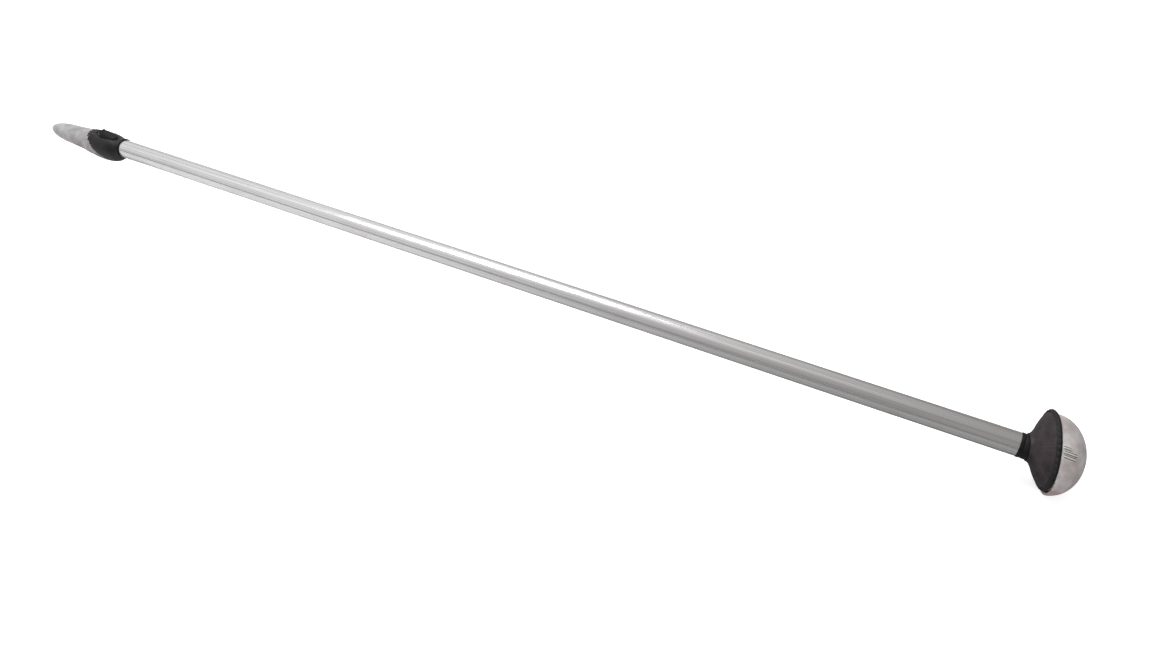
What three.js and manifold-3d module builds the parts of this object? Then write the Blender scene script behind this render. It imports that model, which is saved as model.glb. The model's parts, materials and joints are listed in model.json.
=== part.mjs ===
// A telescopic extension pole for a paint roller, lying flat and closed.
// The working end has a tapered tool cone and a cam-lock collar, and the butt end a swivel palm knob.
// Millimetres, +Z up. The tubes run along X, with the knob at +X.
import * as THREE from 'three';
import { mergeVertices } from 'three/addons/utils/BufferGeometryUtils.js';
import Module from 'manifold-3d';

const wasm = await Module();
wasm.setup();

// Driving dimensions. While the parts are made, x = 0 is the collar's mouth and y = z = 0 the tubes' axis.
const GAP = 0.3;
const TUBE_R = 12.7;
const TUBE_WALL = 0.8;
const TUBE_SHOWN = 1220;
const SOCKET = 14;
const SCREW_X = -6;
const INNER_R = 11;
const INNER_WALL = 0.9;
const INNER_FRONT = -61.4;
const TRAVEL = 1000;
const INNER_BACK = -SOCKET + TRAVEL;
const LINER_R = 12.6;
const LINER_BORE_R = INNER_R + GAP;
const WIPER_FACE = 0.6;
const WIPER_LENGTH = 4;
const BUSH_R = 11.6;
const BUSH_BORE_R = 6;
const BUSH_LENGTH = 120;
const BUSH_PLUG = 24;
const BUSH_PIN_X = INNER_BACK - 12;
const CONE_PIN_X = -48;
const CROSS_PIN_R = 1.5;
const SHANK_FROM = -66;
const SHANK_TO = -28;
const PLUG_R = INNER_R - INNER_WALL - GAP;

// The collar and the cone share one outline, which sits off the tubes' axis and is cut on a slant.
const SHELL = [
  [0, 14.2], [-8, 16.9], [-15, 19], [-24, 20.1], [-33, 20.1], [-42, 19.6], [-44, 18.9], [-45, 19.3],
  [-58, 17.8], [-60, 17.2], [-70, 15.7], [-80, 14.9], [-90, 14.3], [-100, 13.8], [-110, 13],
  [-120, 11.6], [-128, 9.6], [-134, 7], [-137.5, 4.9], [-139, 3.2],
];
const SHELL_OFFSET = 3.4;
const OFFSET_RUN = 8;
const CONE_NOSE_X = -139;
const SLANT_X = -38;
const SLANT_ANGLE = Math.atan(1.4);
const SLANT_GAP = 0.52;
const GRIP_RIBS = 24;
const GRIP_BACK = -44.5;
const GRIP_FRONT = -59;
const GRIP_DEPTH = 0.9;
const FLAT_Z = 15.9;
const FLAT_FRONT = -44.2;
const FLAT_HALF = 14;
const SCREW_HOLE_R = 2.3;
const SCREW_R = 2;
const SCREW_HEAD_Z = -17.4;

const LEVER_PIN_X = -37;
const LEVER_PIN_Z = 16.9;
const LEVER_PIN_R = 1.25;
const LEVER_UNDER = FLAT_Z + GAP;
const LEVER_MIDDLE_Y = -1.4;
const CAM_R = 2.9;
const CAM_DROP = 0.4;
const CAM_HALF = 3.6;
const EAR_Y = 4.9;
const EAR_HALF = 1;
const EAR_R = 2.9;
const WINDOW_HALF_X = 8;
const PAD_TOP = 13.3;

const RIVET_X = TUBE_SHOWN - 22;
const RIVET_R = 1.6;
const RIVET_HOLE_R = RIVET_R + GAP;
const RIVET_HEAD_R = 3;
const RIVET_HEAD = 1;
const NECK_PLUG = 40;
const NECK_BORE_R = 6.5;
const NECK_COLLAR = 3.5;
const NECK_WEB = 2;
const BALL_R = 13.2;
const BALL_CUT = 40;
const PIVOT_X = TUBE_SHOWN + 8;
const BOLT_R = 3;
const CUP_R = 13.6;
const CUP_WALL = 2;
const CUP_HOLE = 28;

// The knob rests tilted on its ball, about a hinge line that leans from +Z towards the front.
const KNOB_TILT = THREE.MathUtils.degToRad(11.7);
const HINGE_LEAN = THREE.MathUtils.degToRad(20.1);
const FLANGE_BACK = 16.8;
const FLANGE_FRONT = 20.6;
const FLANGE_R = 39.2;
const FLANGE_BORE_R = 37;
const RIM_R = 42.2;
const RIM_SCALLOPS = 40;
const SCALLOP_DEPTH = 0.9;
const CAP_BASE = 22;
const CAP_R = 42;
const CAP_HEIGHT = 32.2;
const CAP_WALL = 2.6;
const CAP_OFFSET = 3.8;
const SNAP_R = 36.6;
const SNAP_BORE_R = 34.2;
const ROUND = 32;
const KNOB_ROUND = 36;

// The way the shell and the cap sit off their axes: down and to the front.
const OFF_AXIS = new THREE.Vector3(0, -1, -1).normalize();

const tubeMetal = { color: 0xc9cacb, roughness: 0.32, metalness: 0.9 };
const steel = { color: 0xa9abae, roughness: 0.35, metalness: 0.9 };
const blackNylon = { color: 0x2b2a2b, roughness: 0.5, metalness: 0 };
const blackRubber = { color: 0x252324, roughness: 0.75, metalness: 0 };
const greyNylon = { color: 0xb3b1b2, roughness: 0.55, metalness: 0 };
const whiteNylon = { color: 0xdcdad2, roughness: 0.6, metalness: 0 };

function solidOf(geometry) {
  const bare = geometry.clone();
  bare.deleteAttribute('normal');
  bare.deleteAttribute('uv');
  const merged = mergeVertices(bare, 1e-4);
  const mesh = new wasm.Mesh({
    numProp: 3,
    vertProperties: new Float32Array(merged.attributes.position.array),
    triVerts: new Uint32Array(merged.index.array),
  });
  return new wasm.Manifold(mesh);
}

function geometryOf(solid) {
  const mesh = solid.getMesh();
  const geometry = new THREE.BufferGeometry();
  geometry.setAttribute('position', new THREE.BufferAttribute(mesh.vertProperties, 3));
  geometry.setIndex(new THREE.BufferAttribute(mesh.triVerts, 1));
  return geometry;
}

function cut(body, ...tools) {
  return geometryOf(tools.reduce((left, tool) => left.subtract(solidOf(tool)), solidOf(body)));
}

function join(body, ...others) {
  return geometryOf(others.reduce((sum, other) => sum.add(solidOf(other)), solidOf(body)));
}

function common(body, other) {
  return geometryOf(solidOf(body).intersect(solidOf(other)));
}

// A solid turned about X from [x, r] points, which run from the axis to the axis, or round a ring.
function turned(points, sides = ROUND) {
  const closesOnItself = points[0][1] > 0;
  const profile = points.map(([x, r]) => new THREE.Vector2(r, x));
  if (closesOnItself) profile.push(profile[0].clone());
  const geometry = new THREE.LatheGeometry(profile, sides);
  geometry.rotateZ(-Math.PI / 2);
  return facingOut(geometry);
}

// A lathe's faces point in when its profile runs the other way, so its signed volume decides.
function facingOut(geometry) {
  const spot = geometry.attributes.position;
  const index = geometry.index.array;
  const corner = (i) => new THREE.Vector3().fromBufferAttribute(spot, index[i]);
  let volume = 0;
  for (let i = 0; i < index.length; i += 3) {
    volume += corner(i).dot(corner(i + 1).cross(corner(i + 2)));
  }
  if (volume < 0) index.reverse();
  return geometry;
}

function sleeve(fromX, toX, innerR, outerR, sides = ROUND) {
  return turned([[fromX, innerR], [fromX, outerR], [toX, outerR], [toX, innerR]], sides);
}

function rod(fromX, toX, radius, sides = ROUND) {
  return turned([[fromX, 0], [fromX, radius], [toX, radius], [toX, 0]], sides);
}

function block(x0, x1, y0, y1, z0, z1) {
  const geometry = new THREE.BoxGeometry(x1 - x0, y1 - y0, z1 - z0);
  return geometry.translate((x0 + x1) / 2, (y0 + y1) / 2, (z0 + z1) / 2);
}

// A rod along Y through (x, z).
function crossRod(x, z, halfLength, radius, sides = 24) {
  return new THREE.CylinderGeometry(radius, radius, 2 * halfLength, sides).translate(x, 0, z);
}

// A rod that points straight down, between two heights.
function downRod(x, topZ, bottomZ, radius, sides = 20) {
  const geometry = new THREE.CylinderGeometry(radius, radius, topZ - bottomZ, sides);
  return geometry.rotateX(Math.PI / 2).translate(x, 0, (topZ + bottomZ) / 2);
}

function arc(centreX, centreR, radius, fromDeg, toDeg, steps) {
  return Array.from({ length: steps + 1 }, (_, i) => {
    const angle = THREE.MathUtils.degToRad(fromDeg + (toDeg - fromDeg) * i / steps);
    return [centreX + radius * Math.cos(angle), centreR + radius * Math.sin(angle)];
  });
}

function part(name, geometry, finish) {
  const mesh = new THREE.Mesh(geometry, new THREE.MeshStandardMaterial(finish));
  mesh.name = name;
  return mesh;
}

// The shape that the collar and the cone are cut from. Odd grip ribs can be sunk between two stations.
function shell(sides, sunk = () => false) {
  const body = turned([[0, 0], ...SHELL, [CONE_NOSE_X, 0]], sides);
  const spot = body.attributes.position;
  for (let i = 0; i < spot.count; i += 1) {
    const x = spot.getX(i);
    const radius = Math.hypot(spot.getY(i), spot.getZ(i));
    const turn = Math.round(Math.atan2(spot.getZ(i), spot.getY(i)) / (2 * Math.PI / sides));
    const keep = radius > 1 && sunk(x, turn) ? (radius - GRIP_DEPTH) / radius : 1;
    const shift = SHELL_OFFSET * Math.min(-x / OFFSET_RUN, 1);
    spot.setY(i, spot.getY(i) * keep + OFF_AXIS.y * shift);
    spot.setZ(i, spot.getZ(i) * keep + OFF_AXIS.z * shift);
  }
  return body;
}

// Everything on the cone's side of the slanted joint, moved along X by a distance.
function conesSide(shift) {
  const half = new THREE.BoxGeometry(400, 200, 400).translate(-200, 0, 0);
  return half.rotateY(-SLANT_ANGLE).translate(SLANT_X + shift, 0, 0);
}

// The outer section is one drawn aluminium tube.
function outerTube() {
  const tube = sleeve(-SOCKET, TUBE_SHOWN, TUBE_R - TUBE_WALL, TUBE_R);
  return cut(tube, downRod(RIVET_X, 0, -20, RIVET_HOLE_R), backRod(RIVET_X, 0, 20, RIVET_HOLE_R));
}

// The moulded collar, long on top and short underneath. It has a flat and two ears for the lever,
// a window for the brake pad and a ribbed grip at the front.
function collarBody() {
  const inGrip = (x, turn) => x < GRIP_BACK && x > GRIP_FRONT && turn % 2 !== 0;
  const body = cut(shell(2 * GRIP_RIBS, inGrip), conesSide(SLANT_GAP / 2));
  const ear = (side) => join(
    crossRod(LEVER_PIN_X, LEVER_PIN_Z, EAR_HALF, EAR_R).translate(0, side * EAR_Y, 0),
    block(
      LEVER_PIN_X - EAR_R, LEVER_PIN_X + EAR_R,
      side * EAR_Y - EAR_HALF, side * EAR_Y + EAR_HALF, LINER_R, LEVER_PIN_Z,
    ),
  );
  const flat = block(FLAT_FRONT, 4, -FLAT_HALF, FLAT_HALF, FLAT_Z, 30);
  const eared = join(cut(body, flat), ear(1), ear(-1));
  const window = padWindow(EAR_Y - EAR_HALF, 8);
  const bore = rod(-80, 1, LINER_R + GAP);
  const pinHole = crossRod(LEVER_PIN_X, LEVER_PIN_Z, 12, LEVER_PIN_R + GAP);
  const screwHole = downRod(SCREW_X, 0, -30, SCREW_HOLE_R);
  return cut(eared, window, bore, pinHole, screwHole);
}

function padWindow(halfY, bottomZ) {
  return block(LEVER_PIN_X - WINDOW_HALF_X, LEVER_PIN_X + WINDOW_HALF_X, -halfY, halfY, bottomZ, 30);
}

// A nylon liner guides the inner tube inside the collar.
function collarLiner() {
  const liner = sleeve(-60, -SOCKET - 0.4, LINER_BORE_R, LINER_R);
  return cut(liner, conesSide(WIPER_FACE + WIPER_LENGTH + GAP), padWindow(EAR_Y - EAR_HALF, 5));
}

// A rubber ring in the collar's slanted front end wipes paint off the inner tube.
function wiperRing() {
  const ring = sleeve(-62, -10, LINER_BORE_R, LINER_R);
  return common(cut(ring, conesSide(WIPER_FACE)), conesSide(WIPER_FACE + WIPER_LENGTH));
}

// A grub screw under the collar holds it on the outer tube.
function collarScrew() {
  const screw = downRod(SCREW_X, -TUBE_R - GAP, SCREW_HEAD_Z, SCREW_R);
  const socket = new THREE.CylinderGeometry(1.2, 1.2, 3, 6).rotateX(Math.PI / 2);
  return cut(screw, socket.translate(SCREW_X, 0, SCREW_HEAD_Z));
}

// The lever's leaf: lens-shaped from above, flat below and crowned above.
// Each station is [x, half width, edge height, crown height].
function leverLeaf() {
  const stations = [
    [-38.5, 3.6, 19.2, 19.6], [-36, 3.6, 19.4, 21], [-33.4, 3.6, 19.4, 21.8], [-33.2, 7.4, 17.6, 21.9],
    [-30, 7.8, 17.7, 22.2], [-26, 7.7, 17.6, 21.9], [-22, 7.2, 17.4, 20.9], [-18, 6.6, 17.2, 19.7],
    [-14, 5.8, 17, 18.7], [-10.5, 4.6, 16.9, 17.8], [-8.6, 3, 16.8, 17.2], [-8, 1.4, 16.7, 16.9],
  ];
  const across = 8;
  const leaf = new THREE.BoxGeometry(1, 2, 1, stations.length - 1, across, 1);
  const spot = leaf.attributes.position;
  for (let i = 0; i < spot.count; i += 1) {
    const station = Math.round((spot.getX(i) + 0.5) * (stations.length - 1));
    const [x, half, edge, crown] = stations[station];
    const side = spot.getY(i);
    const top = edge + (crown - edge) * (1 - side * side);
    const middle = half > CAM_HALF ? LEVER_MIDDLE_Y : 0;
    spot.setXYZ(i, x, middle + half * side, spot.getZ(i) > 0 ? top : LEVER_UNDER);
  }
  return leaf;
}

// The over-centre lever: the leaf and, on the pin, a round cam that is a little off centre.
function lockLever() {
  const cam = crossRod(LEVER_PIN_X, LEVER_PIN_Z - CAM_DROP, CAM_HALF, CAM_R, 32);
  const behind = cut(block(-50, LEVER_PIN_X, -6, 6, 10, 30), cam);
  return cut(
    join(cut(leverLeaf(), behind), cam),
    crossRod(LEVER_PIN_X, LEVER_PIN_Z, 12, LEVER_PIN_R + GAP),
  );
}

function leverPin() {
  return crossRod(LEVER_PIN_X, LEVER_PIN_Z, EAR_Y + EAR_HALF, LEVER_PIN_R);
}

// The cam presses this nylon shoe on the inner tube.
function brakePad() {
  const halfX = WINDOW_HALF_X - 0.4;
  const halfY = EAR_Y - EAR_HALF - 0.4;
  const shoe = block(LEVER_PIN_X - halfX, LEVER_PIN_X + halfX, -halfY, halfY, 9, PAD_TOP);
  return cut(shoe, rod(-60, -20, LINER_BORE_R));
}

// The inner section: tube, guide bush and cone, with the pins that hold them.
function innerTube() {
  return cut(
    sleeve(INNER_FRONT, INNER_BACK, INNER_R - INNER_WALL, INNER_R),
    crossRod(CONE_PIN_X, 0, 20, CROSS_PIN_R + GAP),
    crossRod(BUSH_PIN_X, 0, 20, CROSS_PIN_R + GAP),
  );
}

function guideBush() {
  const front = INNER_BACK - BUSH_PLUG;
  const shoulder = INNER_BACK + GAP;
  const back = shoulder + BUSH_LENGTH;
  const bush = turned([
    [front, BUSH_BORE_R], [front, PLUG_R], [shoulder, PLUG_R], [shoulder, BUSH_R],
    [back - 2, BUSH_R], [back, BUSH_R - 1.2], [back, BUSH_BORE_R],
  ]);
  return cut(bush, crossRod(BUSH_PIN_X, 0, 20, CROSS_PIN_R + GAP));
}

function tubePin(x) {
  return crossRod(x, 0, INNER_R - 0.1, CROSS_PIN_R);
}

// The tool cone, which a roller frame's socket wedges onto. Its shank plugs into the inner tube, and
// a skirt round the tube runs back under the collar to the slanted joint.
function toolCone() {
  const outside = common(shell(ROUND), conesSide(-SLANT_GAP / 2));
  const tubeWay = rod(INNER_FRONT - GAP, 1, LINER_BORE_R);
  const shank = rod(SHANK_FROM, SHANK_TO, PLUG_R);
  return cut(join(cut(outside, tubeWay), shank), crossRod(CONE_PIN_X, 0, PLUG_R + 0.5, CROSS_PIN_R + GAP));
}

// Two blind rivets hold the ball's plug in the outer tube, one under it and one behind it.
function backRod(x, fromY, toY, radius, sides = 20) {
  return new THREE.CylinderGeometry(radius, radius, toY - fromY, sides).translate(x, (fromY + toY) / 2, 0);
}

function rivetUnder() {
  const head = downRod(RIVET_X, -TUBE_R - GAP, -TUBE_R - GAP - RIVET_HEAD, RIVET_HEAD_R);
  return join(downRod(RIVET_X, -9, -TUBE_R - 1, RIVET_R), head);
}

function rivetBehind() {
  const head = backRod(RIVET_X, TUBE_R + GAP, TUBE_R + GAP + RIVET_HEAD, RIVET_HEAD_R);
  return join(backRod(RIVET_X, 9, TUBE_R + 1, RIVET_R), head);
}

// The ball that the knob swivels on, moulded in one with its collar and the plug inside the tube.
function ballNeck() {
  const plugR = TUBE_R - TUBE_WALL - GAP;
  const plugEnd = TUBE_SHOWN - NECK_PLUG;
  const shoulder = TUBE_SHOWN + GAP;
  const collarEnd = TUBE_SHOWN + NECK_COLLAR;
  const startDeg = THREE.MathUtils.radToDeg(Math.acos((collarEnd - PIVOT_X) / BALL_R));
  const neck = turned([
    [plugEnd, NECK_BORE_R], [plugEnd, plugR], [shoulder, plugR], [shoulder, BALL_R],
    [collarEnd, BALL_R], ...arc(PIVOT_X, 0, BALL_R, startDeg, BALL_CUT, 6),
    [PIVOT_X + BALL_R * Math.cos(THREE.MathUtils.degToRad(BALL_CUT)), BOLT_R + GAP],
    [TUBE_SHOWN - NECK_WEB, BOLT_R + GAP], [TUBE_SHOWN - NECK_WEB, NECK_BORE_R],
  ]);
  return cut(
    neck,
    downRod(RIVET_X, 0, -20, RIVET_HOLE_R),
    backRod(RIVET_X, 0, 20, RIVET_HOLE_R),
  );
}

// A bolt through the ball clamps the knob's cup between the ball and the cupped washer.
function swivelBolt() {
  const seat = TUBE_SHOWN - NECK_WEB - GAP;
  return join(rod(seat - 2, PIVOT_X + 36, BOLT_R, 20), rod(seat - 4, seat, 5, 6));
}

function cupWasher() {
  const under = CUP_R + CUP_WALL + GAP;
  const over = under + 1.7;
  return turned([
    ...arc(PIVOT_X, 0, under, 13, 44, 4), ...arc(PIVOT_X, 0, over, 44, 12.2, 4),
  ]);
}

class Coil extends THREE.Curve {
  constructor(fromX, toX, radius, turns) {
    super();
    Object.assign(this, { fromX, toX, radius, turns });
  }

  getPoint(t, target = new THREE.Vector3()) {
    const angle = 2 * Math.PI * this.turns * t;
    const x = this.fromX + (this.toX - this.fromX) * t;
    return target.set(x, this.radius * Math.cos(angle), this.radius * Math.sin(angle));
  }
}

function swivelSpring() {
  const wireR = 0.8;
  const wire = new THREE.Shape().absarc(0, 0, wireR, 0, 2 * Math.PI);
  const path = new Coil(PIVOT_X + 18.4, PIVOT_X + 26.2, 6, 3.5);
  return new THREE.ExtrudeGeometry(wire, { extrudePath: path, steps: 42, curveSegments: 3 });
}

function nutWasher() {
  return sleeve(PIVOT_X + 27.4, PIVOT_X + 28.6, BOLT_R + GAP, 9, 28);
}

function lockNut() {
  const hexagon = new THREE.CylinderGeometry(5.8, 5.8, 5.6, 6).rotateZ(Math.PI / 2);
  hexagon.translate(PIVOT_X + 28.9 + 2.8, 0, 0);
  return cut(hexagon, rod(PIVOT_X + 20, PIVOT_X + 40, BOLT_R + GAP, 20));
}

// The knob's own pieces are made with the ball's centre at the origin and the knob's axis along X.
function bell() {
  const cup = CUP_R + CUP_WALL;
  return turned([
    [0, CUP_R], [0, 14.6], [2, 15.2], [4, 17], [7, 21.7], [10, 27.6], [13, 33.1], [15, 36.4],
    [FLANGE_BACK, FLANGE_R], [FLANGE_FRONT, FLANGE_R], [FLANGE_FRONT, FLANGE_BORE_R],
    [18, FLANGE_BORE_R], [15.5, 33.8], [13, 29.6], [10, 24], [7, 17.4],
    ...arc(0, 0, cup, 64, CUP_HOLE, 4), ...arc(0, 0, CUP_R, CUP_HOLE, 84, 5),
  ], KNOB_ROUND);
}

// A scalloped rubber ring round the flange is what the fingers hold.
function rimRing() {
  const sides = 2 * RIM_SCALLOPS;
  const ring = turned([
    [FLANGE_BACK - 0.2, FLANGE_R + GAP], [FLANGE_BACK + 0.1, FLANGE_R + 0.8], [18.2, RIM_R - 0.4],
    [19.4, RIM_R], [FLANGE_FRONT - 0.3, RIM_R], [FLANGE_FRONT, RIM_R - 0.5], [FLANGE_FRONT, FLANGE_R + GAP],
  ], sides);
  const spot = ring.attributes.position;
  for (let i = 0; i < spot.count; i += 1) {
    const radius = Math.hypot(spot.getY(i), spot.getZ(i));
    const turn = Math.round(Math.atan2(spot.getZ(i), spot.getY(i)) / (Math.PI / RIM_SCALLOPS));
    if (radius > RIM_R - 1.2 && turn % 2 !== 0) {
      spot.setY(i, spot.getY(i) * (radius - SCALLOP_DEPTH) / radius);
      spot.setZ(i, spot.getZ(i) * (radius - SCALLOP_DEPTH) / radius);
    }
  }
  return ring;
}

function capGasket() {
  return sleeve(FLANGE_FRONT + GAP, CAP_BASE - GAP, FLANGE_BORE_R + GAP, RIM_R - 1.2, KNOB_ROUND);
}

// The grey cap: half an ellipsoid a little off the knob's axis, with a snap ring inside the bell.
function domeCap() {
  const dome = (radius, height) => {
    const ball = new THREE.SphereGeometry(1, KNOB_ROUND, 18).rotateZ(Math.PI / 2);
    ball.scale(height, radius, radius);
    return ball.translate(CAP_BASE, OFF_AXIS.y * CAP_OFFSET, OFF_AXIS.z * CAP_OFFSET);
  };
  const floor = CAP_BASE + 3;
  const outside = cut(dome(CAP_R, CAP_HEIGHT), block(-40, CAP_BASE, -60, 60, -60, 60));
  const hollow = cut(dome(CAP_R - CAP_WALL, CAP_HEIGHT - CAP_WALL), block(-40, floor, -60, 60, -60, 60));
  const open = cut(outside, hollow, rod(CAP_BASE - 1, floor + 1, SNAP_BORE_R, KNOB_ROUND));
  return join(open, sleeve(FLANGE_FRONT - 2.2, floor - 0.5, SNAP_BORE_R, SNAP_R, KNOB_ROUND));
}

const collarAndHandle = new THREE.Group();
collarAndHandle.add(
  part('outer_tube', outerTube(), tubeMetal),
  part('collar_body', collarBody(), blackNylon),
  part('collar_liner', collarLiner(), whiteNylon),
  part('wiper_ring', wiperRing(), blackRubber),
  part('collar_screw', collarScrew(), steel),
  part('lever_pin', leverPin(), steel),
  part('lock_lever', lockLever(), blackNylon),
  part('brake_pad', brakePad(), whiteNylon),
  part('ball_neck', ballNeck(), blackNylon),
  part('neck_rivet_under', rivetUnder(), steel),
  part('neck_rivet_behind', rivetBehind(), steel),
  part('swivel_bolt', swivelBolt(), steel),
  part('nut_washer', nutWasher(), steel),
  part('lock_nut', lockNut(), steel),
  part('cup_washer', cupWasher(), steel),
  part('swivel_spring', swivelSpring(), steel),
);

const innerSection = new THREE.Group();
innerSection.add(
  part('inner_tube', innerTube(), tubeMetal),
  part('guide_bush', guideBush(), whiteNylon),
  part('bush_pin', tubePin(BUSH_PIN_X), steel),
  part('tool_cone', toolCone(), greyNylon),
  part('cone_pin', tubePin(CONE_PIN_X), steel),
);

const knob = new THREE.Group();
knob.position.set(PIVOT_X, 0, 0);
const hinge = new THREE.Vector3(0, -Math.sin(HINGE_LEAN), Math.cos(HINGE_LEAN));
knob.setRotationFromAxisAngle(hinge, KNOB_TILT);
knob.add(
  part('bell', bell(), blackNylon),
  part('rim_ring', rimRing(), blackRubber),
  part('cap_gasket', capGasket(), blackRubber),
  part('dome_cap', domeCap(), greyNylon),
);

// The pole's own frame: the origin is under the middle of the object, on the surface that it lies on.
const pole = new THREE.Group();
pole.add(collarAndHandle, innerSection, knob);
const box = new THREE.Box3().setFromObject(pole, true);
const middle = box.getCenter(new THREE.Vector3());
pole.position.set(-middle.x, -middle.y, -box.min.z);

export default pole;
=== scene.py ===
import json
import math

import bmesh
import bpy
from mathutils import Matrix, Vector


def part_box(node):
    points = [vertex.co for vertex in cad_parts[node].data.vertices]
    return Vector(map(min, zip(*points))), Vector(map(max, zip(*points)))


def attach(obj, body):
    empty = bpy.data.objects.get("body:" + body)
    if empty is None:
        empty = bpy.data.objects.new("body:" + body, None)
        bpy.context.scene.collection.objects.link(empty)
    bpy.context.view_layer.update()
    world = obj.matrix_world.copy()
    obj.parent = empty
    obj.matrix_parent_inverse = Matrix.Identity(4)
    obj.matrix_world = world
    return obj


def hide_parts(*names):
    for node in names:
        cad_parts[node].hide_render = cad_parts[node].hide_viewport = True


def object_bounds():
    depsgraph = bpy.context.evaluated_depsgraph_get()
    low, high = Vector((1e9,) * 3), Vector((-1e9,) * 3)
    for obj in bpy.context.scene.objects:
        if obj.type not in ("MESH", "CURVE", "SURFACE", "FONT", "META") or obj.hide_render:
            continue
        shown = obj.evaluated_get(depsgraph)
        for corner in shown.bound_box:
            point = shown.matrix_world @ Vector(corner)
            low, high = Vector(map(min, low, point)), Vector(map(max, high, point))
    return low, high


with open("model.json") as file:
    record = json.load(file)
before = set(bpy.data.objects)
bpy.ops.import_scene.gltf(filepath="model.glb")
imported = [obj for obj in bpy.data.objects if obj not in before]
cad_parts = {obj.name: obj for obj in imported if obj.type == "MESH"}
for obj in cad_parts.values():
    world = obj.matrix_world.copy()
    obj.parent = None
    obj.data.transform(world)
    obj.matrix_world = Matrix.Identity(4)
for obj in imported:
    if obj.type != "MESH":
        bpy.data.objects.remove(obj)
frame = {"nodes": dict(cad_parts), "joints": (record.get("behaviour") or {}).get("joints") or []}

cad_low, cad_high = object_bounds()
scene = bpy.context.scene


# ---------------------------------------------------------------------------------------------
# The camera stands above and in front of the knob's end of the pole and looks back towards the
# cone, so that the knob is near and large and the cone far and small.
# ---------------------------------------------------------------------------------------------
pivot = next(Vector(joint["pos_m"]) for joint in frame["joints"] if joint["name"] == "knob_tilt")
CAMERA_FROM_PIVOT = Vector((-0.1738, -0.7006, 0.7426))
CAMERA_TILT = math.radians(44.61)
CAMERA_TURN = math.radians(25.58)

camera_data = bpy.data.cameras.new("camera")
camera_data.lens = 28.08
camera_data.sensor_width = 36.0
camera = bpy.data.objects.new("camera", camera_data)
camera.location = pivot + CAMERA_FROM_PIVOT
camera.rotation_euler = (CAMERA_TILT, 0, CAMERA_TURN)
scene.collection.objects.link(camera)
scene.camera = camera


# ---------------------------------------------------------------------------------------------
# White paper under a wide soft sky, both plain white to the camera. What the metal mirrors is
# lighter at the cone's end of the pole and greyer at the knob's, which gives the polished tube a
# light and a dark end: the sky is graded so, and the paper carries a painted reflection tone that
# only glossy rays see.
# ---------------------------------------------------------------------------------------------
FLOOR_HALF = 12.0
FLOOR_DROP = 0.0005
CONE_WAY = Vector((-0.93, 0.1, 0.35))
SKY_TONES = ((0.0, (0.37, 0.362, 0.355)), (0.34, (0.64, 0.63, 0.625)), (0.7, (0.93, 0.925, 0.93)))
scene.view_settings.view_transform = "Standard"


def node(tree, kind, place=(0, 0), **settings):
    made = tree.nodes.new(kind)
    made.location = place
    for key, value in settings.items():
        setattr(made, key, value)
    return made


def sky_tone():
    """Light over the cone's end and greyer over the knob's, with darker bands along both horizons."""
    world = bpy.data.worlds.new("studio")
    world.use_nodes = True
    scene.world = world
    tree = world.node_tree
    background = tree.nodes["Background"]
    direction = node(tree, "ShaderNodeTexCoord")
    towards_cone = node(tree, "ShaderNodeVectorMath", operation="DOT_PRODUCT")
    towards_cone.inputs[1].default_value = CONE_WAY.normalized()
    ramp = node(tree, "ShaderNodeValToRGB")
    for place, tone in SKY_TONES:
        stops = ramp.color_ramp.elements
        stop = stops.new(place) if 0 < place < 0.5 else stops[-1 if place else 0]
        stop.position = place
        stop.color = (*tone, 1)
    height = node(tree, "ShaderNodeSeparateXYZ")
    horizon = node(tree, "ShaderNodeValToRGB")
    for place, tone in zip((0.02, 0.3), (0.45, 1.0)):
        stop = horizon.color_ramp.elements[-1 if place > 0.1 else 0]
        stop.position = place
        stop.color = (tone, tone, tone, 1)
    darkened = node(tree, "ShaderNodeMix", data_type="RGBA", blend_type="MULTIPLY")
    darkened.inputs["Factor"].default_value = 1.0
    tree.links.new(direction.outputs["Generated"], towards_cone.inputs[0])
    tree.links.new(direction.outputs["Generated"], height.inputs["Vector"])
    tree.links.new(height.outputs["Z"], horizon.inputs["Fac"])
    tree.links.new(towards_cone.outputs["Value"], ramp.inputs["Fac"])
    tree.links.new(ramp.outputs["Color"], darkened.inputs["A"])
    tree.links.new(horizon.outputs["Color"], darkened.inputs["B"])
    ray = node(tree, "ShaderNodeLightPath")
    backdrop = node(tree, "ShaderNodeMix", data_type="RGBA")
    backdrop.inputs["B"].default_value = (1, 1, 1, 1)
    tree.links.new(ray.outputs["Is Camera Ray"], backdrop.inputs["Factor"])
    tree.links.new(darkened.outputs["Result"], backdrop.inputs["A"])
    tree.links.new(backdrop.outputs["Result"], background.inputs["Color"])
    background.inputs["Strength"].default_value = 1.0


def soft_light(name, place, aim, width, depth, watts, mirrored=True):
    data = bpy.data.lights.new(name, "AREA")
    data.shape = "RECTANGLE"
    data.size = width
    data.size_y = depth
    data.energy = watts
    light = bpy.data.objects.new(name, data)
    light.location = place
    light.rotation_euler = (Vector(aim) - Vector(place)).to_track_quat("-Z", "Y").to_euler()
    light.visible_glossy = mirrored
    scene.collection.objects.link(light)


sky_tone()
soft_light("long_softbox", (-0.75, 0.35, 1.9), (-0.1, 0, 0), 1.3, 0.42, 26)
soft_light("front_fill", (0.6, -2.4, 2.2), (0.2, 0, 0), 2.4, 1.2, 12, mirrored=False)

floor_mesh = bmesh.new()
bmesh.ops.create_grid(floor_mesh, x_segments=1, y_segments=1, size=FLOOR_HALF)
floor_data = bpy.data.meshes.new("floor")
floor_mesh.to_mesh(floor_data)
floor = bpy.data.objects.new("floor", floor_data)
floor.location = (0, 0, cad_low.z - FLOOR_DROP)
scene.collection.objects.link(floor)


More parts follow.
